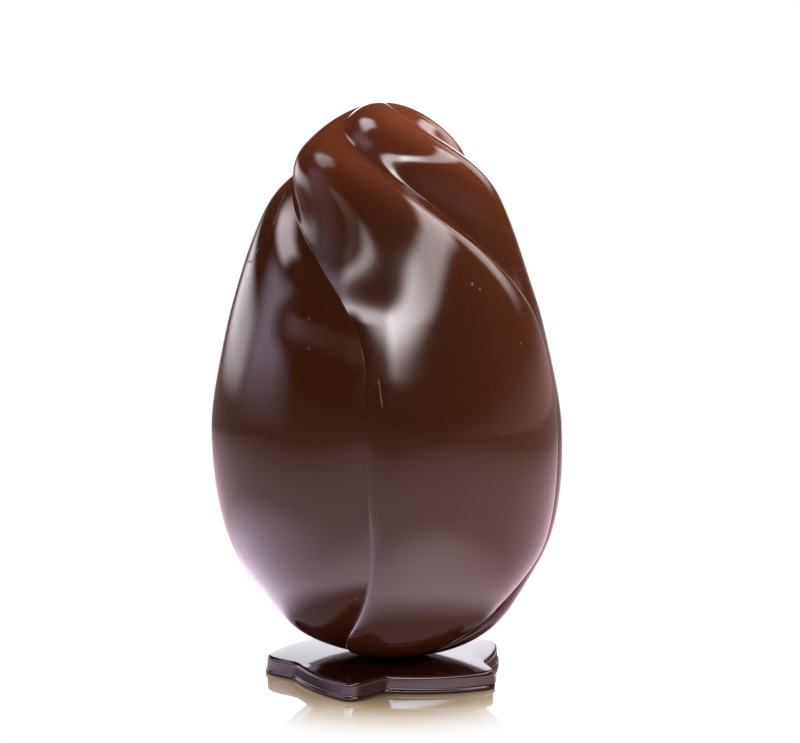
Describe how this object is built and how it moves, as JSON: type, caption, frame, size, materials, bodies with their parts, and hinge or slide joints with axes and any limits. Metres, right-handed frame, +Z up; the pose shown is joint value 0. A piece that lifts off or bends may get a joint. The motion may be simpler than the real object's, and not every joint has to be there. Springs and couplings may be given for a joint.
{
  "type": "chocolate egg",
  "caption": "Upright moulded dark chocolate egg with broad lobes that twist into a spiral at the top, standing on a thin pinwheel-shaped chocolate foot.",
  "frame": {"origin": "on the floor, below the middle of the whole part's width and depth", "axes": "+Z up through the egg, front of the egg towards -Y, +X to the right as seen from the front"},
  "size_m": [0.1203, 0.1202, 0.196],
  "materials": {
    "egg": "glossy tempered dark chocolate",
    "foot": "glossy tempered dark chocolate"
  },
  "bodies": {
    "root": {"egg": "egg", "foot": "foot"}
  },
  "joints": []
}
